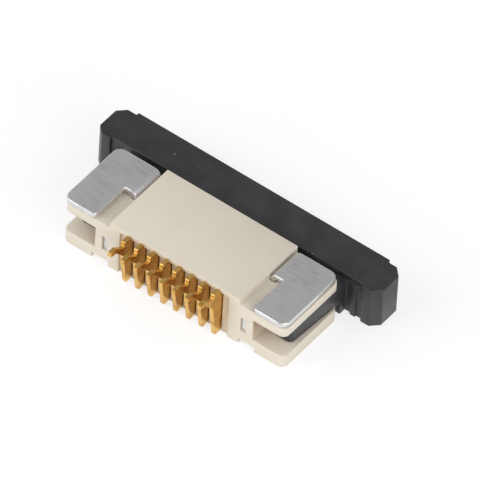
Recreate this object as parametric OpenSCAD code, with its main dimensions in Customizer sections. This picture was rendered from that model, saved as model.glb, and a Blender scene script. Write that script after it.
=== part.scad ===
// Right-angle board connector for a flat flexible cable, with a sliding lock.
// Millimetres. It lies with its solder side up: +X runs along the row of contacts,
// the solder tails point to -Y, the cable enters and the slider pulls out at +Y.
// The origin is the middle of the underside of the whole connector.

/* [Contact row] */
// Number of contacts in the row
ways = 8; // [4:1:16]
// Distance from one contact to the next
pitch = 0.5; // [0.45:0.05:0.7]
// Thickness of the strip that the contacts are stamped from
contact_t = 0.15; // [0.12:0.01:0.18]
// Gap between a contact and each side of its slot
contact_play = 0.02; // [0.01:0.005:0.03]
// How far the solder tails stand out in front of the block
tail_reach = 1.06; // [0.9:0.02:1.3]
// Length of the flat solder foot at the end of a tail
foot_l = 0.26; // [0.15:0.01:0.4]
// Thickness of the foot, measured upright
foot_t = 0.17; // [0.14:0.01:0.22]
// Length of the rounded head between the block and the tail
head_l = 0.36; // [0.28:0.01:0.4]
// How far the spine under the tail stands out from the block, at its top
spine_out = 0.4; // [0.36:0.01:0.46]
// How far the spine stands out at its lower end
spine_foot_out = 0.19; // [0.1:0.01:0.3]
// Height of the spring beam of a contact
beam_h = 0.16; // [0.12:0.01:0.2]
// How far the contact point stands below the spring beam
point_drop = 0.11; // [0.06:0.01:0.13]
// How far the contact points reach into the cable's mouth
point_reach = 0.12; // [0.08:0.01:0.2]

/* [Cable] */
// Thickness of the flat cable that fits
cable_t = 0.3; // [0.2:0.05:0.35]
// Play across the width of the cable
cable_play = 0.05; // [0.02:0.01:0.1]

/* [Housing block] */
// Height of the raised block, from the underside to its solder side
block_h = 1.97; // [1.9:0.02:2.2]
// Depth of the block, from its tail side to its cable side
block_d = 2.98; // [2.8:0.02:3.4]
// Wall beside the cable mouth
side_wall = 0.285; // [0.22:0.01:0.4]
// Floor under the cable mouth
floor_t = 0.33; // [0.28:0.01:0.4]
// Wall left at the far end of each slot, above and below it
slot_skin = 0.1; // [0.06:0.01:0.14]
// Band of plain wall above the slots on the tail side
brow_h = 0.19; // [0.15:0.01:0.24]
// Depth of the shallow recess around the row of slots
recess_d = 0.09; // [0.04:0.01:0.15]
// Margin of that recess past the outer contacts
recess_margin = 0.39; // [0.2:0.01:0.45]
// Gap kept between a contact and the ends of its slot
slot_play = 0.02; // [0.01:0.005:0.04]

/* [Ears] */
// Width of each ear, from the side of the block outwards
ear_w = 1.775; // [1.6:0.025:2.1]
// Height of the ears' solder side
ear_top = 1.74; // [1.68:0.01:1.76]
// Length of an ear from front to back
ear_d = 2.82; // [2.6:0.02:2.9]
// Wall between the block and the channel in an ear
ear_wall = 0.53; // [0.45:0.01:0.6]
// Height of the channel that the slider's arm runs in
channel_h = 0.87; // [0.75:0.01:0.95]
// Thickness of the plate below the channel
ear_floor = 0.515; // [0.45:0.005:0.56]
// Radius of the outer corners of an ear
ear_r = 0.24; // [0.1:0.02:0.4]
// Height of the groove under the joint of block and ear
groove_h = 0.215; // [0.1:0.005:0.25]
// Width of that groove
groove_w = 0.63; // [0.3:0.01:0.7]

/* [Solder nails] */
// Thickness of the sheet that the nails are bent from
sheet_t = 0.2; // [0.16:0.01:0.22]
// Width of the solder plate of a nail
plate_w = 1.24; // [1.1:0.02:1.3]
// Length of the solder plate of a nail
plate_l = 2.84; // [2.5:0.02:2.9]
// Corner radius of the solder plate
plate_r = 0.3; // [0.1:0.02:0.4]
// Length of the tab that joins the plate to the leg
tab_l = 1.3; // [1:0.05:1.4]
// Height of the leg that is pushed into the housing
leg_h = 0.58; // [0.4:0.02:0.64]
// Inner radius of the bend between tab and leg
bend_r = 0.08; // [0.05:0.01:0.12]
// Gap around the leg in its slot
leg_play = 0.01; // [0.01:0.005:0.03]
// Gap from a plate to the cable side of its ear
plate_setback = 0.05; // [0:0.01:0.1]
// How far the solder plane stands above the block
board_gap = 0.06; // [0.04:0.01:0.1]

/* [Slider] */
// How far the slider pulls out to free the cable
travel = 1.1; // [0.8:0.05:1.2]
// Gap between the block and the slider when it is shut
shut_gap = 0.175; // [0.1:0.005:0.3]
// Depth of the slider's bar at its ends
bar_d = 1.36; // [1.2:0.02:1.6]
// Height of the slider's bar
bar_h = 1.6; // [1.5:0.02:1.65]
// How far the bar's middle stands back from its ends
bar_step = 0.1; // [0.05:0.01:0.15]
// Length of each of the bar's end blocks
end_l = 0.62; // [0.5:0.02:0.8]
// How far the bar's ends stand out past the ears
bar_over = 1.235; // [1.1:0.005:1.5]
// Chamfer on the upright corners of the bar
bar_chamfer = 0.28; // [0.1:0.02:0.4]
// Gap under the slider, so that the housing carries it
slider_lift = 0.01; // [0.01:0.01:0.05]
// Gap all round an arm in its channel
arm_play = 0.04; // [0.03:0.005:0.06]
// How far the arms lie inside the ears' outer sides
arm_inset = 0.04; // [0.02:0.01:0.08]
// Thickness of an arm at its root
arm_t = 0.5; // [0.4:0.01:0.56]
// How much thinner an arm is at its tip
arm_taper = 0.12; // [0:0.01:0.14]
// Width of the rib beside each arm
rib_w = 0.22; // [0.15:0.01:0.3]
// Gap from an arm's tip to the front of the ear
arm_setback = 0.6; // [0.5:0.02:0.8]
// How far the hook at an arm's tip stands inwards
hook_w = 0.32; // [0.2:0.01:0.34]
// Length of that hook along the arm
hook_l = 0.34; // [0.25:0.01:0.5]
// Thickness of the tongue that presses on the cable
tongue_t = 0.3; // [0.22:0.01:0.34]
// Gap between the tongue and the floor and sides of the mouth
tongue_play = 0.04; // [0.03:0.005:0.06]

/* [Hidden] */

$fn = 48;
eps = 0.01;                                   // overshoot of a cut past a face
far = 20;                                     // longer than any part of the connector
mouth_stop = 0.78;                            // wall between tail side and cable mouth
slot_end = 0.3;                               // wall between slots and cable side
stop_play = 0.05;                             // gap left at the hook when fully open
leg_setback = 0.07;                           // from the front of the block to a leg's end
leg_lift = 0.09;                              // from the channel's floor up to a leg
leg_share = 0.15;                             // part of the spare wall that is inside a leg
edge_cut = 0.06;                              // small bevels on the hook, ridge and spine

// Widths, counted from the middle of the row
cable_w = (ways + 1) * pitch;
mouth_w = cable_w + cable_play;
block_half = mouth_w / 2 + side_wall;
wall_x = block_half + ear_wall;               // inner wall of the channel
ear_x = block_half + ear_w;                   // outer side of an ear
bar_half = ear_x + bar_over;
step_x = bar_half - end_l;
row_half = (ways - 1) * pitch / 2;
slot_w = contact_t + 2 * contact_play;
arm_x = ear_x - arm_inset;                    // outer side of an arm at its root
arm_in_x = arm_x - arm_t;                     // inner side of an arm
hook_x = arm_in_x - hook_w;
leg_slot_w = sheet_t + 2 * leg_play;
leg_x = block_half + (ear_wall - leg_slot_w) * leg_share + leg_play;

// Depths, counted from the middle of the block
block_front = -block_d / 2;
block_back = block_d / 2;
ear_back = block_front + ear_d;
bar_front = block_back + shut_gap;            // front of the bar's end blocks
bar_mid_front = bar_front + bar_step;
bar_mid_back = bar_mid_front + bar_d;
tail_tip = block_front - tail_reach;
middle_y = (tail_tip + bar_mid_back) / 2;
stop_y = block_front + mouth_stop;            // far end of the cable mouth
slot_back = block_back - slot_end;            // cable-side end of the slots
arm_tip = block_front + arm_setback;
hook_back = arm_tip + hook_l;
stop_ridge_y = hook_back + travel + stop_play;
plate_back = ear_back - plate_setback;
tab_front = plate_back - tab_l;
leg_front = block_front + leg_setback;

// Heights, counted from the underside
board_z = block_h + board_gap;
channel_top = ear_floor + channel_h;
slot_bottom = slot_skin;
slot_top = block_h - brow_h;
mouth_floor = floor_t + slot_skin;
tongue_z = mouth_floor + tongue_play;
tongue_top = tongue_z + tongue_t;
mouth_top = tongue_top + cable_t + 2 * tongue_play;
leg_z = ear_floor + leg_lift;
arm_z = ear_floor + arm_play;
arm_h = channel_h - 2 * arm_play;
arm_top = arm_z + arm_h;

// A rectangle from one corner to the other with its two outer corners rounded;
// the rounded corners are the ones at x1
module rounded_outer(x0, x1, y0, y1, r) {
    difference() {
        translate([x0, y0]) square([x1 - x0, y1 - y0]);
        for (y = [y0, y1])
            difference() {
                translate([x1 - r, y == y0 ? y0 - eps : y1 - r]) square([r + eps, r + eps]);
                translate([x1 - r, y == y0 ? y0 + r : y1 - r]) circle(r);
            }
    }
}

// ------------------------------------------------------------------ housing
module ear_shell() {
    difference() {
        linear_extrude(ear_top)
            rounded_outer(block_half - eps, ear_x, block_front, ear_back, ear_r);
        translate([wall_x, -far / 2, ear_floor]) cube([far, far, channel_h]);
    }
}

// Ridge on the channel's inner wall that holds back the arm's hook
module stop_ridge() {
    ridge_w = arm_in_x - arm_play - wall_x;
    ridge_l = ear_back - stop_ridge_y;
    translate([0, 0, ear_floor - eps]) linear_extrude(channel_h + 2 * eps)
        polygon([
            [wall_x - eps, stop_ridge_y], [wall_x + ridge_w - edge_cut, stop_ridge_y],
            [wall_x + ridge_w, stop_ridge_y + edge_cut],
            [wall_x + ridge_w, stop_ridge_y + ridge_l / 2], [wall_x - eps, ear_back]
        ]);
}

module leg_slot() {
    x0 = leg_x - leg_play;
    // along the whole ear, at the height of the leg
    translate([x0, block_front - eps, leg_z - leg_play])
        cube([leg_slot_w, far, leg_h + 2 * leg_play]);
    // open to the solder side where the tab comes down
    translate([x0, tab_front - leg_play, leg_z - leg_play])
        cube([leg_slot_w, far, far]);
}

function contact_x(i) = (i - (ways + 1) / 2) * pitch;

module contact_slot(i) {
    translate([contact_x(i) - slot_w / 2, block_front - eps, slot_bottom])
        cube([slot_w, slot_back - block_front + eps, slot_top - slot_bottom]);
}

module cable_mouth() {
    translate([-mouth_w / 2, stop_y, mouth_floor])
        cube([mouth_w, block_d, mouth_top - mouth_floor]);
}

// Shallow recess around the row of slots on the tail side
module slot_recess() {
    half = row_half + recess_margin;
    translate([-half, block_front - eps, -eps])
        cube([2 * half, recess_d + eps, slot_top + eps]);
}

// Groove under the joint of block and ear
module underside_groove() {
    translate([block_half, -far / 2, -eps]) cube([groove_w, far, groove_h + eps]);
}

module housing() {
    color("#e9e1d0")
    translate([0, -middle_y, 0])
    difference() {
        union() {
            translate([-block_half, block_front, 0])
                cube([2 * block_half, block_d, block_h]);
            for (side = [0, 1])
                mirror([side, 0, 0]) {
                    ear_shell();
                    stop_ridge();
                }
        }
        cable_mouth();
        for (i = [1 : ways]) contact_slot(i);
        slot_recess();
        for (side = [0, 1])
            mirror([side, 0, 0]) {
                leg_slot();
                underside_groove();
            }
    }
}

// ----------------------------------------------------------------- contacts
// Side view of a contact, in Y and Z: the fork inside the block, the neck in the
// slot, the head, the hollow behind it, the rising solder tail and the spine below
module contact_profile() {
    head_back = block_front - slot_play;
    head_front = block_front - head_l;
    head_z = block_h - slot_play;
    head_cut = head_l / 4;
    hollow_z = slot_top - slot_play;
    hollow_y = head_front - head_cut;
    base_back = stop_y - slot_play;
    base_front = block_front + recess_d - slot_play;
    slot_low = slot_bottom + slot_play;
    tip_y = slot_back - slot_end / 2;
    point_y = tip_y - beam_h;
    point_z = mouth_top - point_reach;
    tip_z = point_z + point_drop;             // underside of the spring beam at its tip
    fall = (hollow_z - beam_h - tip_z) / (tip_y - base_back);
    fixed_z = mouth_floor - slot_play;
    polygon([
        // solder tail, hollow and head
        [tail_tip, board_z], [tail_tip + foot_l, board_z], [hollow_y, hollow_z],
        [head_front, hollow_z + head_cut / 2], [head_front, head_z - head_cut],
        [head_front + head_cut, head_z], [head_back - head_cut, head_z],
        [head_back, head_z - head_cut / 2], [head_back, hollow_z],
        // spring beam that falls towards its end, with the contact point there
        [base_back, hollow_z], [tip_y, tip_z + beam_h], [tip_y, tip_z], [point_y, point_z],
        [point_y - beam_h / 2, point_z], [point_y - 2 * beam_h, tip_z + 3 * beam_h * fall],
        [base_back + beam_h, hollow_z - beam_h], [base_back, hollow_z - 2 * beam_h],
        // fixed beam
        [base_back, fixed_z + edge_cut], [base_back + edge_cut, fixed_z],
        [tip_y, fixed_z], [tip_y, slot_low],
        // base, then the spine in front of the block
        [base_front, slot_low], [base_front, slot_play],
        [block_front - spine_foot_out, slot_play], [block_front - spine_out, channel_top],
        // underside of the tail
        [tail_tip + foot_l, board_z - foot_t - edge_cut / 2], [tail_tip, board_z - foot_t]
    ]);
}

module contact(i) {
    color("#c9a55a")
    translate([contact_x(i) - contact_t / 2, -middle_y, 0])
        rotate([90, 0, 90])
            linear_extrude(contact_t) contact_profile();
}

// ------------------------------------------------------------- solder nails
// One nail on the +X side: a flat solder plate, a tab at its cable-side end, a
// bend and a leg that runs back through the ear
module nail() {
    plate_in_x = ear_x - plate_w;
    plate_front = plate_back - plate_l;
    bend_x = leg_x + sheet_t + bend_r;
    bend_z = board_z - sheet_t - bend_r;
    inner_r = plate_r / 2;
    translate([0, 0, board_z - sheet_t]) linear_extrude(sheet_t) {
        difference() {
            rounded_outer(plate_in_x, ear_x, plate_front, plate_back, plate_r);
            // rounded inner front corner
            difference() {
                translate([plate_in_x - eps, plate_front - eps]) square(inner_r + eps);
                translate([plate_in_x + inner_r, plate_front + inner_r]) circle(inner_r);
            }
        }
        translate([bend_x, tab_front]) square([plate_in_x - bend_x + eps, tab_l]);
    }
    // bend
    translate([bend_x, tab_front + tab_l, bend_z]) rotate([90, 0, 0])
        intersection() {
            difference() {
                cylinder(h = tab_l, r = bend_r + sheet_t);
                translate([0, 0, -eps]) cylinder(h = tab_l + 2 * eps, r = bend_r);
            }
            translate([-far, 0, 0]) cube([far, far, far]);
        }
    // upright part under the bend, and the leg
    translate([leg_x, tab_front, leg_z]) cube([sheet_t, tab_l, bend_z - leg_z]);
    translate([leg_x, leg_front, leg_z]) cube([sheet_t, tab_front - leg_front + eps, leg_h]);
}

module nail_left() {
    color("#c8c8ca") translate([0, -middle_y, 0]) mirror([1, 0, 0]) nail();
}

module nail_right() {
    color("#c8c8ca") translate([0, -middle_y, 0]) nail();
}

// ------------------------------------------------------------------- slider
module bar() {
    translate([0, 0, slider_lift])
        linear_extrude(bar_h)
            polygon([
                [-step_x, bar_mid_front], [step_x, bar_mid_front], [step_x, bar_front],
                [bar_half - bar_chamfer, bar_front], [bar_half, bar_front + bar_chamfer],
                [bar_half, bar_front + bar_d - bar_chamfer],
                [bar_half - bar_chamfer, bar_front + bar_d],
                [step_x, bar_front + bar_d], [step_x, bar_mid_back],
                [-step_x, bar_mid_back], [-step_x, bar_front + bar_d],
                [-bar_half + bar_chamfer, bar_front + bar_d],
                [-bar_half, bar_front + bar_d - bar_chamfer],
                [-bar_half, bar_front + bar_chamfer],
                [-bar_half + bar_chamfer, bar_front], [-step_x, bar_front]
            ]);
}

// Window that the cable passes through, flared towards the cable side
module cable_window() {
    flare = tongue_t / 2;
    flare_l = bar_d / 3;
    translate([-mouth_w / 2, bar_mid_front - eps, tongue_top])
        cube([mouth_w, bar_d + 2 * eps, mouth_top - tongue_top]);
    translate([-mouth_w / 2, 0, 0]) rotate([90, 0, 90]) linear_extrude(mouth_w)
        polygon([
            [bar_mid_back - flare_l, tongue_top], [bar_mid_back + eps, tongue_top - flare],
            [bar_mid_back + eps, mouth_top + flare], [bar_mid_back - flare_l, mouth_top]
        ]);
}

// Wedge-nosed tongue that presses the cable against the contacts
module tongue() {
    half = mouth_w / 2 - tongue_play;
    nose_y = stop_y + 2 * tongue_play;
    nose_l = tongue_t;
    translate([-half, 0, 0]) rotate([90, 0, 90]) linear_extrude(2 * half)
        polygon([
            [nose_y, tongue_z], [nose_y, tongue_z + tongue_t / 2], [nose_y + nose_l, tongue_top],
            [bar_mid_front + eps, tongue_top], [bar_mid_front + eps, tongue_z]
        ]);
}

module arm() {
    nose = 2 * edge_cut;
    root_y = ear_back + (bar_front - ear_back) / 2;
    translate([0, 0, arm_z]) linear_extrude(arm_h)
        polygon([
            [hook_x, arm_tip + nose], [hook_x + nose, arm_tip],
            [arm_x - arm_taper - nose, arm_tip], [arm_x - arm_taper, arm_tip + nose],
            [arm_x, ear_back], [arm_x, bar_mid_front + eps],
            [arm_in_x, bar_mid_front + eps], [arm_in_x, hook_back], [hook_x, hook_back]
        ]);
    // root that joins the arm to the full height of the bar
    translate([arm_in_x, root_y, slider_lift])
        cube([arm_t, bar_mid_front - root_y + eps, arm_top - slider_lift]);
    // rib between the arm and the end block
    translate([(arm_x + step_x - rib_w) / 2, bar_front + edge_cut / 2, slider_lift])
        cube([rib_w, bar_mid_front - bar_front, arm_top - slider_lift]);
}

module slider() {
    color("#2b2a2d")
    translate([0, -middle_y, 0])
    difference() {
        union() {
            bar();
            tongue();
            for (side = [0, 1]) mirror([side, 0, 0]) arm();
        }
        cable_window();
    }
}

housing();
for (i = [1 : ways])
    contact(i);
nail_left();
nail_right();
slider();
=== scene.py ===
"""Visual model of a right-angle board connector for a flat flexible cable.

The connector lies with its solder side up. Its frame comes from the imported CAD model, and
this add-on gives each piece its edges, its finish and its stage.
"""

import math

import bmesh
import bpy
from mathutils import Matrix, Vector


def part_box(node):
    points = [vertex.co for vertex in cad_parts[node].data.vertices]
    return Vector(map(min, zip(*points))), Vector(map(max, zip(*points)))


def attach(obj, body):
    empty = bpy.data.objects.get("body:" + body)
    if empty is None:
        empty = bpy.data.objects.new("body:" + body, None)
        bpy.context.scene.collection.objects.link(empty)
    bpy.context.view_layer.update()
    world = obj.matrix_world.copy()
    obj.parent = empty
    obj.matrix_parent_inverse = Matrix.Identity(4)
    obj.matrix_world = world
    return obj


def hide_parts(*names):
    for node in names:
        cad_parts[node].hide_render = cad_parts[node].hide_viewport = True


bl_info = {
    "name": "Flat Cable Connector",
    "version": (1, 0, 0),
    "blender": (4, 5, 0),
    "location": "View3D > Sidebar > Connector",
    "description": "Dresses a small slide-lock connector for a flat flexible cable",
    "category": "Object",
}

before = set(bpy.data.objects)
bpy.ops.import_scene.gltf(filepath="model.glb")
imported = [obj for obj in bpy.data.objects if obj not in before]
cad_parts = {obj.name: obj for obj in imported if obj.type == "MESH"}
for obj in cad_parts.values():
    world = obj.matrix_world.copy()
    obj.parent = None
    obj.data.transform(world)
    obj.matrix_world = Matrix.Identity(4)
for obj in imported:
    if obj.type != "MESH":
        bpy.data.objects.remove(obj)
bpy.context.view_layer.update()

MM = 0.001
WELD = 0.008 * MM
FLAT = math.radians(0.5)
SHARP = math.radians(28)

CONTACT_NODES = sorted(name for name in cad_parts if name.startswith("contact_"))
FIRST_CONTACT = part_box(CONTACT_NODES[0])
LAST_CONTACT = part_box(CONTACT_NODES[-1])
HOUSING_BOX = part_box("housing")
SLIDER_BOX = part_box("slider")
NAIL_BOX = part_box("nail_right")
ROW_STEP = (LAST_CONTACT[0][0] - FIRST_CONTACT[0][0]) / (len(CONTACT_NODES) - 1)


# ---------------------------------------------------------------- settings
class HousingSettings(bpy.types.PropertyGroup):
    """Sizes and colours of the ivory housing"""

    edge: bpy.props.FloatProperty(
        name="Edge Rounding",
        description="Width of the rounding that the mould leaves on every edge",
        default=0.022 * MM,
        unit="LENGTH",
    )
    pale: bpy.props.StringProperty(
        name="Ivory", description="Colour of the plastic, as sRGB hex", default="e7dfcf"
    )
    deep: bpy.props.StringProperty(
        name="Warm Ivory",
        description="Colour of the warmer clouds in the plastic, as sRGB hex",
        default="e2d8c6",
    )
    # painted shade: warm brown colour painted deep in the ears' channels where shade falls, not a
    # glow of the plastic
    painted_channel_shade: bpy.props.StringProperty(
        name="Amber",
        description="Colour that the plastic glows with deep in its channels, as sRGB hex",
        default="a06a34",
    )


class ContactSettings(bpy.types.PropertyGroup):
    """Sizes and colours of the row of contacts"""

    count: bpy.props.IntProperty(
        name="Contacts", description="Number of contacts in the row", default=len(CONTACT_NODES)
    )
    pitch: bpy.props.FloatProperty(
        name="Pitch",
        description="Distance from one contact to the next",
        default=ROW_STEP,
        unit="LENGTH",
    )
    foot: bpy.props.FloatProperty(
        name="Foot", description="Length of the solder foot", default=0.26 * MM, unit="LENGTH"
    )
    foot_height: bpy.props.FloatProperty(
        name="Foot Height", description="Thickness of the foot", default=0.17 * MM, unit="LENGTH"
    )
    head: bpy.props.FloatProperty(
        name="Head",
        description="Length of the rounded head in front of the block",
        default=0.36 * MM,
        unit="LENGTH",
    )
    spine: bpy.props.FloatProperty(
        name="Spine",
        description="How far the spine stands out under the tail",
        default=0.4 * MM,
        unit="LENGTH",
    )
    beam: bpy.props.FloatProperty(
        name="Beam", description="Height of the spring beam", default=0.16 * MM, unit="LENGTH"
    )
    edge: bpy.props.FloatProperty(
        name="Edge Rounding",
        description="Rounding of the stamped edges",
        default=0.014 * MM,
        unit="LENGTH",
    )
    gold: bpy.props.StringProperty(
        name="Gold", description="Colour of the plating, as sRGB hex", default="e9bd6c"
    )
    worn: bpy.props.StringProperty(
        name="Thin Gold",
        description="Colour where the plating is thin, as sRGB hex",
        default="c99a4d",
    )


class NailSettings(bpy.types.PropertyGroup):
    """Sizes and colours of the solder nails"""

    edge: bpy.props.FloatProperty(
        name="Edge Rounding",
        description="Rounding that the stamping leaves on the sheet's edges",
        default=0.05 * MM,
        unit="LENGTH",
    )
    bright: bpy.props.StringProperty(
        name="Tin", description="Colour of the tin plating, as sRGB hex", default="e4e3e2"
    )
    dull: bpy.props.StringProperty(
        name="Dull Tin", description="Colour of its stains, as sRGB hex", default="cfcfd3"
    )


class SliderSettings(bpy.types.PropertyGroup):
    """Sizes and colours of the black slider"""

    edge: bpy.props.FloatProperty(
        name="Edge Rounding",
        description="Width of the rounding on the slider's edges",
        default=0.03 * MM,
        unit="LENGTH",
    )
    black: bpy.props.StringProperty(
        name="Charcoal", description="Colour of the plastic, as sRGB hex", default="2c2b2e"
    )
    grey: bpy.props.StringProperty(
        name="Scuffed Charcoal",
        description="Colour of its scuffs, as sRGB hex",
        default="3a393d",
    )
    dust: bpy.props.StringProperty(
        name="Dust", description="Colour of specks of dust, as sRGB hex", default="8b898c"
    )


class StageSettings(bpy.types.PropertyGroup):
    """Camera, lamps and floor"""

    azimuth: bpy.props.FloatProperty(
        name="Azimuth",
        description="Direction of the camera round the connector",
        default=math.radians(34.67),
        subtype="ANGLE",
    )
    elevation: bpy.props.FloatProperty(
        name="Elevation",
        description="Height of the camera above the floor's plane",
        default=math.radians(46.95),
        subtype="ANGLE",
    )
    roll: bpy.props.FloatProperty(
        name="Roll",
        description="Turn of the camera about its own line of sight",
        default=math.radians(3.63),
        subtype="ANGLE",
    )
    lens: bpy.props.FloatProperty(
        name="Lens", description="Focal length in millimetres", default=1200.0
    )
    distance: bpy.props.FloatProperty(
        name="Distance",
        description="From the camera to the point it looks at",
        default=0.4984,
        unit="LENGTH",
    )
    target: bpy.props.FloatVectorProperty(
        name="Target",
        description="Point that the camera looks at",
        default=(0.000977, 0.000298, 0.0019007),
        unit="LENGTH",
    )
    key: bpy.props.FloatProperty(
        name="Key Lamp", description="Light of the left lamp, against the sky's", default=0.5
    )
    fill: bpy.props.FloatProperty(
        name="Fill Lamp", description="Light of the right lamp, against the sky's", default=0.5
    )
    sky: bpy.props.FloatProperty(
        name="Sky", description="Light from all round", default=0.45
    )
    floor: bpy.props.FloatProperty(
        name="Floor", description="Side of the floor", default=0.3, unit="LENGTH"
    )


# --------------------------------------------------------- colour and nodes
def linear(hex_code):
    """Linear colour of an sRGB hex value."""
    values = []
    for i in (0, 2, 4):
        part = int(hex_code[i : i + 2], 16) / 255
        values.append(part / 12.92 if part <= 0.04045 else ((part + 0.055) / 1.055) ** 2.4)
    return (*values, 1.0)


def add_node(tree, kind, settings=None, values=None, links=None):
    """Adds a node, with its settings, its sockets' values and the links into it."""
    node = tree.nodes.new(kind)
    for name, value in (settings or {}).items():
        setattr(node, name, value)
    for socket, value in (values or {}).items():
        node.inputs[socket].default_value = value
    for socket, source in (links or {}).items():
        tree.links.new(source, node.inputs[socket])
    return node


def start_material(name):
    """New material whose tree has an output and object coordinates in metres."""
    material = bpy.data.materials.new(name)
    material.use_nodes = True
    tree = material.node_tree
    tree.nodes.clear()
    place = add_node(tree, "ShaderNodeTexCoord").outputs["Object"]
    return material, tree, place


def end_material(tree, shader):
    """Joins a shader to the material's output."""
    add_node(tree, "ShaderNodeOutputMaterial", links={"Surface": shader.outputs[0]})


def grain(tree, place, size, detail=2.0, stretch=(1, 1, 1)):
    """Noise whose clouds are about as wide as size, in metres."""
    scale = tuple(factor / size for factor in stretch)
    mapped = add_node(
        tree, "ShaderNodeMapping", values={"Scale": scale}, links={"Vector": place}
    )
    return add_node(
        tree,
        "ShaderNodeTexNoise",
        values={"Scale": 1.0, "Detail": detail},
        links={"Vector": mapped.outputs[0]},
    ).outputs["Fac"]


def band(tree, value, low, high, to_low=0.0, to_high=1.0):
    """Value taken from the range low to high to another range, and kept inside it."""
    return add_node(
        tree,
        "ShaderNodeMapRange",
        values={1: low, 2: high, 3: to_low, 4: to_high},
        links={0: value},
    ).outputs[0]


def blend_colour(tree, factor, first, second):
    """Colour between two others, each a linked socket or a linear colour."""
    node = add_node(
        tree, "ShaderNodeMix", settings={"data_type": "RGBA"}, links={"Factor": factor}
    )
    for socket, colour in ((node.inputs[6], first), (node.inputs[7], second)):
        if isinstance(colour, tuple):
            socket.default_value = colour
        else:
            tree.links.new(colour, socket)
    return node.outputs[2]


def times(tree, first, second):
    """Product of two numbers, of which the second may be a plain one."""
    node = add_node(tree, "ShaderNodeMath", settings={"operation": "MULTIPLY"}, links={0: first})
    if isinstance(second, float):
        node.inputs[1].default_value = second
    else:
        tree.links.new(second, node.inputs[1])
    return node.outputs[0]


def relief(tree, height, depth):
    """Bump normal from a height, with its real depth in metres."""
    return add_node(
        tree, "ShaderNodeBump", values={"Strength": 1.0, "Distance": depth}, links={"Height": height}
    ).outputs[0]


# ------------------------------------------------------------------ finishes
def moulded_nylon_ivory(settings):
    """Glass-filled nylon, injection moulded in ivory: satin and faintly cloudy, with painted amber
    shade deep in the ears' channels, darkest towards their inner walls and roofs."""
    material, tree, place = start_material("moulded_nylon_ivory")
    clouds = band(tree, grain(tree, place, 1.3 * MM), 0.35, 0.65)
    fibres = band(tree, grain(tree, place, 0.07 * MM, 3.0), 0.3, 0.7, 0.0, 0.35)
    body = blend_colour(tree, clouds, linear(settings.pale), linear(settings.deep))
    body = blend_colour(tree, times(tree, fibres, clouds), body, linear("efe8da"))
    # painted shade: a warm brown colour grows from the open side of a channel to its inner wall and
    # roof, where shade falls
    parts = add_node(tree, "ShaderNodeSeparateXYZ", links={0: place}).outputs
    across = add_node(
        tree, "ShaderNodeMath", settings={"operation": "ABSOLUTE"}, links={0: parts[0]}
    ).outputs[0]
    ear_side = HOUSING_BOX[1][0]
    inward = band(tree, across, ear_side - 0.1 * MM, ear_side - 1.25 * MM)
    in_ear = band(tree, across, ear_side - 1.4 * MM, ear_side - 1.3 * MM)
    upward = band(tree, parts[2], 0.5 * MM, 1.385 * MM, 0.25, 1.0)
    below_roof = band(tree, parts[2], 1.41 * MM, 1.39 * MM)
    above_floor = band(tree, parts[2], 0.49 * MM, 0.51 * MM)
    behind_face = band(tree, parts[1], HOUSING_BOX[0][1] + 0.02 * MM, HOUSING_BOX[0][1] + 0.1 * MM)
    # mask of the painted channel shade, mixed into the ivory below
    floor_glow_and_channel_shade = times(tree, times(tree, inward, upward), times(tree, below_roof, above_floor))
    floor_glow_and_channel_shade = times(tree, times(tree, floor_glow_and_channel_shade, in_ear), behind_face)
    body = blend_colour(tree, times(tree, floor_glow_and_channel_shade, 0.85), body, linear(settings.painted_channel_shade))
    shader = add_node(
        tree,
        "ShaderNodeBsdfPrincipled",
        values={"IOR": 1.53, "Specular IOR Level": 0.4},
        links={
            "Base Color": body,
            "Roughness": band(tree, fibres, 0.0, 0.35, 0.42, 0.55),
            "Normal": relief(tree, fibres, 0.004 * MM),
        },
    )
    end_material(tree, shader)
    return material


def moulded_nylon_black(settings):
    """Glass-filled nylon, injection moulded in black: satin, a little scuffed, with the odd
    speck of dust."""
    material, tree, place = start_material("moulded_nylon_black")
    scuffs = band(tree, grain(tree, place, 0.9 * MM, 4.0), 0.4, 0.7)
    fibres = grain(tree, place, 0.06 * MM, 3.0)
    body = blend_colour(tree, scuffs, linear(settings.black), linear(settings.grey))
    cells = add_node(
        tree,
        "ShaderNodeTexVoronoi",
        values={"Scale": 1 / (0.42 * MM)},
        links={"Vector": place},
    ).outputs
    speck = band(tree, cells["Distance"], 0.13, 0.07)
    chosen = add_node(tree, "ShaderNodeSeparateColor", links={0: cells["Color"]}).outputs[0]
    speck = times(tree, speck, band(tree, chosen, 0.8, 0.9, 0.0, 0.6))
    body = blend_colour(tree, speck, body, linear(settings.dust))
    shader = add_node(
        tree,
        "ShaderNodeBsdfPrincipled",
        values={"IOR": 1.53, "Specular IOR Level": 0.5},
        links={
            "Base Color": body,
            "Roughness": band(tree, fibres, 0.3, 0.7, 0.34, 0.5),
            "Normal": relief(tree, fibres, 0.003 * MM),
        },
    )
    end_material(tree, shader)
    return material


def plated_tin(settings):
    """Phosphor bronze sheet with matte tin plating: pale grey, softly mirror-like, with dull
    rolling streaks and stains."""
    material, tree, place = start_material("plated_tin")
    streaks = grain(tree, place, 0.5 * MM, 4.0, stretch=(1, 5, 5))
    stains = grain(tree, place, 0.8 * MM, 3.0)
    dull = times(tree, band(tree, streaks, 0.35, 0.65), band(tree, stains, 0.35, 0.6, 0.3, 1.0))
    shader = add_node(
        tree,
        "ShaderNodeBsdfPrincipled",
        values={"Metallic": 1.0},
        links={
            "Base Color": blend_colour(tree, dull, linear(settings.bright), linear(settings.dull)),
            "Roughness": band(tree, dull, 0.0, 1.0, 0.38, 0.5),
            "Normal": relief(tree, streaks, 0.004 * MM),
        },
    )
    end_material(tree, shader)
    return material


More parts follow.
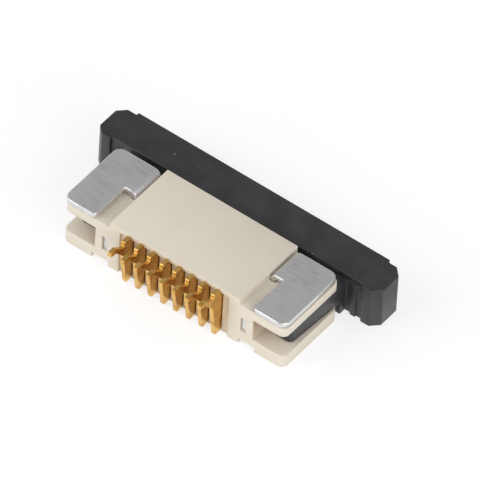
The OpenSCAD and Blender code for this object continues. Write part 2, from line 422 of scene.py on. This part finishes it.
def plated_gold(settings):
    """Copper alloy strip with thin gold plating: warm yellow, softly polished, redder where
    the plating is thin."""
    material, tree, place = start_material("plated_gold")
    thin = band(tree, grain(tree, place, 0.35 * MM, 3.0), 0.4, 0.7)
    rolled = grain(tree, place, 0.1 * MM, 3.0, stretch=(4, 1, 1))
    shader = add_node(
        tree,
        "ShaderNodeBsdfPrincipled",
        values={"Metallic": 1.0},
        links={
            "Base Color": blend_colour(tree, thin, linear(settings.gold), linear(settings.worn)),
            "Roughness": band(tree, rolled, 0.3, 0.7, 0.22, 0.38),
            "Normal": relief(tree, rolled, 0.003 * MM),
        },
    )
    end_material(tree, shader)
    return material


def studio_floor():
    """Matte white sheet: white to the eye and in reflections, with a soft shadow."""
    material, tree, _place = start_material("studio_floor")
    path = add_node(tree, "ShaderNodeLightPath").outputs
    seen = add_node(
        tree,
        "ShaderNodeMath",
        settings={"operation": "MAXIMUM"},
        links={0: path["Is Camera Ray"], 1: path["Is Glossy Ray"]},
    ).outputs[0]
    seen = add_node(
        tree,
        "ShaderNodeMath",
        settings={"operation": "MAXIMUM"},
        links={0: seen, 1: path["Is Transmission Ray"]},
    ).outputs[0]
    sheet = add_node(tree, "ShaderNodeBsdfDiffuse", values={"Color": (0.9, 0.9, 0.9, 1.0)})
    thin = add_node(tree, "ShaderNodeBsdfDiffuse", values={"Color": (0.34, 0.34, 0.34, 1.0)})
    floor_glow_and_channel_shade = add_node(
        tree, "ShaderNodeEmission", values={"Color": (1, 1, 1, 1), "Strength": 0.72}
    )
    lit = add_node(tree, "ShaderNodeAddShader", links={0: thin.outputs[0], 1: floor_glow_and_channel_shade.outputs[0]})
    shader = add_node(
        tree, "ShaderNodeMixShader", links={0: seen, 1: sheet.outputs[0], 2: lit.outputs[0]}
    )
    end_material(tree, shader)
    return material


# -------------------------------------------------------------------- shapes
def add_piece(name, mesh, material, body, nodes):
    """Links a finished mesh as a piece that rides on a body and stands for CAD nodes."""
    piece = bpy.data.objects.new(name, mesh)
    bpy.context.scene.collection.objects.link(piece)
    mesh.materials.clear()
    mesh.materials.append(material)
    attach(piece, body)
    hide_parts(*nodes)
    return piece


def whole_copy(node, name):
    """Copy of a CAD node's mesh with its corners joined and its flat faces made whole."""
    shape = bmesh.new()
    shape.from_mesh(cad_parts[node].data)
    bmesh.ops.remove_doubles(shape, verts=shape.verts, dist=WELD)
    bmesh.ops.dissolve_limit(shape, angle_limit=FLAT, verts=shape.verts, edges=shape.edges)
    mesh = bpy.data.meshes.new(name)
    shape.to_mesh(mesh)
    shape.free()
    return mesh


def round_edges(piece, width, segments):
    """Rounds every sharp edge of a piece and shades the roundings smooth."""
    for polygon in piece.data.polygons:
        polygon.use_smooth = True
    bevel = piece.modifiers.new("edge rounding", "BEVEL")
    bevel.width = width
    bevel.segments = segments
    bevel.limit_method = "ANGLE"
    bevel.angle_limit = SHARP
    bevel.use_clamp_overlap = False
    bevel.harden_normals = True


def fillet(corners, steps=4):
    """Outline with each corner (y, z, radius) replaced by an arc of that radius."""
    outline = []
    for i, (y, z, radius) in enumerate(corners):
        here = Vector((y, z))
        before = Vector(corners[i - 1][:2]) - here
        after = Vector(corners[(i + 1) % len(corners)][:2]) - here
        half = before.angle(after) / 2
        reach = min(radius / math.tan(half), before.length * 0.49, after.length * 0.49)
        if radius == 0 or reach < 0.001:
            outline.append(here)
            continue
        start = here + before.normalized() * reach
        end = here + after.normalized() * reach
        for step in range(steps + 1):
            t = step / steps
            outline.append(start * (1 - t) ** 2 + here * 2 * t * (1 - t) + end * t**2)
    return outline


def contact_outline(settings):
    """Side view of a contact in millimetres: tail, head, spine and the fork inside."""
    tip, board = FIRST_CONTACT[0][1] / MM, FIRST_CONTACT[1][2] / MM
    inner_tip = FIRST_CONTACT[1][1] / MM
    front = HOUSING_BOX[0][1] / MM
    foot, foot_height = settings.foot / MM, settings.foot_height / MM
    head, spine, beam = settings.head / MM, settings.spine / MM, settings.beam / MM
    head_top = HOUSING_BOX[1][2] / MM - 0.02
    hollow, base, fixed, low = 1.76, front + 0.76, 0.41, 0.12
    nose = 1.14
    point = 1.03
    return fillet(
        [
            (tip, board, 0.03),
            (tip + foot, board, 0.14),
            (front - head - 0.09, hollow, 0.08),
            (front - head, hollow + 0.03, 0.03),
            (front - head, head_top, 0.13),
            (front - 0.02, head_top, 0.1),
            (front - 0.02, hollow, 0.03),
            (base, hollow, 0.1),
            (inner_tip, nose + beam, 0.05),
            (inner_tip, nose, 0.03),
            (inner_tip - beam, point, 0.06),
            (inner_tip - 1.5 * beam, point, 0.06),
            (inner_tip - 3 * beam, nose + 0.12, 0.1),
            (base + beam, hollow - beam, 0.1),
            (base, hollow - 2 * beam, 0.06),
            (base, fixed + 0.06, 0.03),
            (base + 0.06, fixed, 0.03),
            (inner_tip, fixed, 0.05),
            (inner_tip, low, 0.05),
            (front + 0.07, low, 0.0),
            (front + 0.07, 0.02, 0.0),
            (front - 0.19, 0.02, 0.03),
            (front - spine, 1.385, 0.1),
            (tip + foot, board - foot_height - 0.03, 0.14),
            (tip, board - foot_height, 0.03),
        ]
    )


def strip_mesh(name, outline, low_x, high_x):
    """Solid between two flat copies of an outline in Y and Z."""
    shape = bmesh.new()
    rings = []
    for x in (low_x, high_x):
        rings.append([shape.verts.new((x, y * MM, z * MM)) for y, z in outline])
    for i in range(len(outline)):
        j = (i + 1) % len(outline)
        shape.faces.new((rings[0][i], rings[0][j], rings[1][j], rings[1][i]))
    shape.faces.new(rings[0])
    shape.faces.new(rings[1])
    bmesh.ops.recalc_face_normals(shape, faces=shape.faces)
    mesh = bpy.data.meshes.new(name)
    shape.to_mesh(mesh)
    shape.free()
    return mesh


def row_tree():
    """Geometry nodes that repeat a shape along X: count, pitch and material are inputs."""
    tree = bpy.data.node_groups.new("contact_row", "GeometryNodeTree")
    face = tree.interface
    face.new_socket("Geometry", in_out="INPUT", socket_type="NodeSocketGeometry")
    face.new_socket("Count", in_out="INPUT", socket_type="NodeSocketInt")
    face.new_socket("Pitch", in_out="INPUT", socket_type="NodeSocketFloat")
    face.new_socket("Material", in_out="INPUT", socket_type="NodeSocketMaterial")
    face.new_socket("Geometry", in_out="OUTPUT", socket_type="NodeSocketGeometry")
    given = add_node(tree, "NodeGroupInput").outputs
    step = add_node(tree, "ShaderNodeCombineXYZ", links={"X": given["Pitch"]})
    points = add_node(
        tree,
        "GeometryNodeMeshLine",
        settings={"mode": "OFFSET"},
        links={"Count": given["Count"], "Offset": step.outputs[0]},
    )
    row = add_node(
        tree,
        "GeometryNodeInstanceOnPoints",
        links={"Points": points.outputs[0], "Instance": given["Geometry"]},
    )
    solid = add_node(tree, "GeometryNodeRealizeInstances", links={0: row.outputs[0]})
    dressed = add_node(
        tree,
        "GeometryNodeSetMaterial",
        links={"Geometry": solid.outputs[0], "Material": given["Material"]},
    )
    add_node(tree, "NodeGroupOutput", links={0: dressed.outputs[0]})
    return tree


def applied(piece):
    """Plain mesh of a piece with all its modifiers applied."""
    bpy.context.view_layer.update()
    ready = piece.evaluated_get(bpy.context.evaluated_depsgraph_get())
    return bpy.data.meshes.new_from_object(ready)


# ----------------------------------------------------------------- operators
class DressHousing(bpy.types.Operator):
    """Give the ivory housing its rounded edges and its plastic"""

    bl_idname = "connector.housing"
    bl_label = "Dress Housing"

    def execute(self, context):
        settings = context.scene.connector_housing
        piece = add_piece(
            "housing_moulding",
            whole_copy("housing", "housing_moulding"),
            moulded_nylon_ivory(settings),
            "base",
            ["housing"],
        )
        round_edges(piece, settings.edge, 2)
        return {"FINISHED"}


class MakeContacts(bpy.types.Operator):
    """Make the row of gold-plated contacts"""

    bl_idname = "connector.contacts"
    bl_label = "Make Contacts"

    def execute(self, context):
        settings = context.scene.connector_contacts
        mesh = strip_mesh(
            "contact", contact_outline(settings), FIRST_CONTACT[0][0], FIRST_CONTACT[1][0]
        )
        draft = bpy.data.objects.new("contact", mesh)
        context.scene.collection.objects.link(draft)
        round_edges(draft, settings.edge, 2)
        tree = row_tree()
        repeat = draft.modifiers.new("row", "NODES")
        repeat.node_group = tree
        material = plated_gold(settings)
        inputs = {
            item.name: item.identifier
            for item in tree.interface.items_tree
            if item.in_out == "INPUT"
        }
        repeat[inputs["Count"]] = settings.count
        repeat[inputs["Pitch"]] = settings.pitch
        repeat[inputs["Material"]] = material
        row = applied(draft)
        row.name = "contact_row"
        bpy.data.objects.remove(draft)
        add_piece("contact_row", row, material, "base", CONTACT_NODES)
        return {"FINISHED"}


class DressNails(bpy.types.Operator):
    """Give the two solder nails their rounded edges and their tin plating"""

    bl_idname = "connector.nails"
    bl_label = "Dress Nails"

    def execute(self, context):
        settings = context.scene.connector_nails
        material = plated_tin(settings)
        for side in ("left", "right"):
            node = "nail_" + side
            piece = add_piece(
                "solder_" + node,
                whole_copy(node, "solder_" + node),
                material,
                "base",
                [node],
            )
            round_edges(piece, settings.edge, 3)
        return {"FINISHED"}


class DressSlider(bpy.types.Operator):
    """Give the black slider its rounded edges and its plastic"""

    bl_idname = "connector.slider"
    bl_label = "Dress Slider"

    def execute(self, context):
        settings = context.scene.connector_slider
        piece = add_piece(
            "slider_moulding",
            whole_copy("slider", "slider_moulding"),
            moulded_nylon_black(settings),
            "lock",
            ["slider"],
        )
        round_edges(piece, settings.edge, 3)
        return {"FINISHED"}


class SetStage(bpy.types.Operator):
    """Set the floor, the lamps, the sky and the camera"""

    bl_idname = "connector.stage"
    bl_label = "Set Stage"

    def execute(self, context):
        settings = context.scene.connector_stage
        self.lay_floor(context, settings)
        self.hang_lamp(context, "key_lamp", -42, 32, settings.key)
        self.hang_lamp(context, "fill_lamp", 68, 26, settings.fill)
        self.light_sky(context, settings)
        self.aim_camera(context, settings)
        return {"FINISHED"}

    def lay_floor(self, context, settings):
        half = settings.floor / 2
        mesh = bpy.data.meshes.new("floor")
        corners = [(-half, -half, 0), (half, -half, 0), (half, half, 0), (-half, half, 0)]
        mesh.from_pydata(corners, [], [(0, 1, 2, 3)])
        mesh.materials.append(studio_floor())
        floor = bpy.data.objects.new("floor", mesh)
        context.scene.collection.objects.link(floor)

    def hang_lamp(self, context, name, azimuth, elevation, level):
        """Square soft lamp; level is the light that it lays on a surface facing it."""
        away = 0.3
        lamp = bpy.data.lights.new(name, "AREA")
        lamp.shape = "SQUARE"
        lamp.size = 0.24
        lamp.energy = level * (math.pi * away) ** 2
        hung = bpy.data.objects.new(name, lamp)
        context.scene.collection.objects.link(hung)
        back = direction(math.radians(azimuth), math.radians(elevation))
        hung.location = back * away
        hung.rotation_euler = back.to_track_quat("Z", "Y").to_euler()
        hung.visible_camera = False

    def light_sky(self, context, settings):
        """Even sky that lights the connector and looks white itself."""
        world = bpy.data.worlds.new("sky")
        world.use_nodes = True
        tree = world.node_tree
        tree.nodes.clear()
        path = add_node(tree, "ShaderNodeLightPath").outputs
        light = add_node(
            tree, "ShaderNodeBackground", values={"Color": (1, 1, 1, 1), "Strength": settings.sky}
        )
        white = add_node(
            tree, "ShaderNodeBackground", values={"Color": (1, 1, 1, 1), "Strength": 1.0}
        )
        shader = add_node(
            tree,
            "ShaderNodeMixShader",
            links={0: path["Is Camera Ray"], 1: light.outputs[0], 2: white.outputs[0]},
        )
        add_node(tree, "ShaderNodeOutputWorld", links={0: shader.outputs[0]})
        context.scene.world = world

    def aim_camera(self, context, settings):
        view = bpy.data.cameras.new("camera")
        view.lens = settings.lens
        view.clip_start = settings.distance / 10
        view.clip_end = settings.distance * 3
        camera = bpy.data.objects.new("camera", view)
        context.scene.collection.objects.link(camera)
        back = direction(settings.azimuth, settings.elevation)
        level = Vector((math.cos(settings.azimuth), math.sin(settings.azimuth), 0))
        turn = Matrix.Rotation(settings.roll, 3, back)
        right = turn @ level
        up = back.cross(right)
        camera.matrix_world = Matrix.Translation(
            Vector(settings.target) + back * settings.distance
        ) @ Matrix((right, up, back)).transposed().to_4x4()
        context.scene.camera = camera
        context.scene.view_settings.view_transform = "Standard"


def direction(azimuth, elevation):
    """Unit vector from the connector towards a place round it; azimuth 0 is the tail side."""
    return Vector(
        (
            math.sin(azimuth) * math.cos(elevation),
            -math.cos(azimuth) * math.cos(elevation),
            math.sin(elevation),
        )
    )


class ConnectorPanel(bpy.types.Panel):
    """Lists the settings and the steps that make the connector"""

    bl_idname = "VIEW3D_PT_connector"
    bl_label = "Flat Cable Connector"
    bl_space_type = "VIEW_3D"
    bl_region_type = "UI"
    bl_category = "Connector"

    def draw(self, context):
        for group, operator in STEPS:
            settings = getattr(context.scene, group)
            box = self.layout.box()
            for name in settings.__annotations__:
                box.prop(settings, name)
            box.operator(operator.bl_idname)


STEPS = (
    ("connector_stage", SetStage),
    ("connector_housing", DressHousing),
    ("connector_contacts", MakeContacts),
    ("connector_nails", DressNails),
    ("connector_slider", DressSlider),
)
GROUPS = {
    "connector_stage": StageSettings,
    "connector_housing": HousingSettings,
    "connector_contacts": ContactSettings,
    "connector_nails": NailSettings,
    "connector_slider": SliderSettings,
}


def register():
    """Registers the settings, the operators and the panel."""
    for name, group in GROUPS.items():
        bpy.utils.register_class(group)
        setattr(bpy.types.Scene, name, bpy.props.PointerProperty(type=group))
    for _group, operator in STEPS:
        bpy.utils.register_class(operator)
    bpy.utils.register_class(ConnectorPanel)


def unregister():
    """Takes the panel, the operators and the settings out again."""
    bpy.utils.unregister_class(ConnectorPanel)
    for _group, operator in reversed(STEPS):
        bpy.utils.unregister_class(operator)
    for name, group in GROUPS.items():
        delattr(bpy.types.Scene, name)
        bpy.utils.unregister_class(group)


def main():
    """Makes every piece and the stage."""
    register()
    bpy.ops.connector.stage()
    bpy.ops.connector.housing()
    bpy.ops.connector.contacts()
    bpy.ops.connector.nails()
    bpy.ops.connector.slider()


if __name__ == "__main__":
    main()
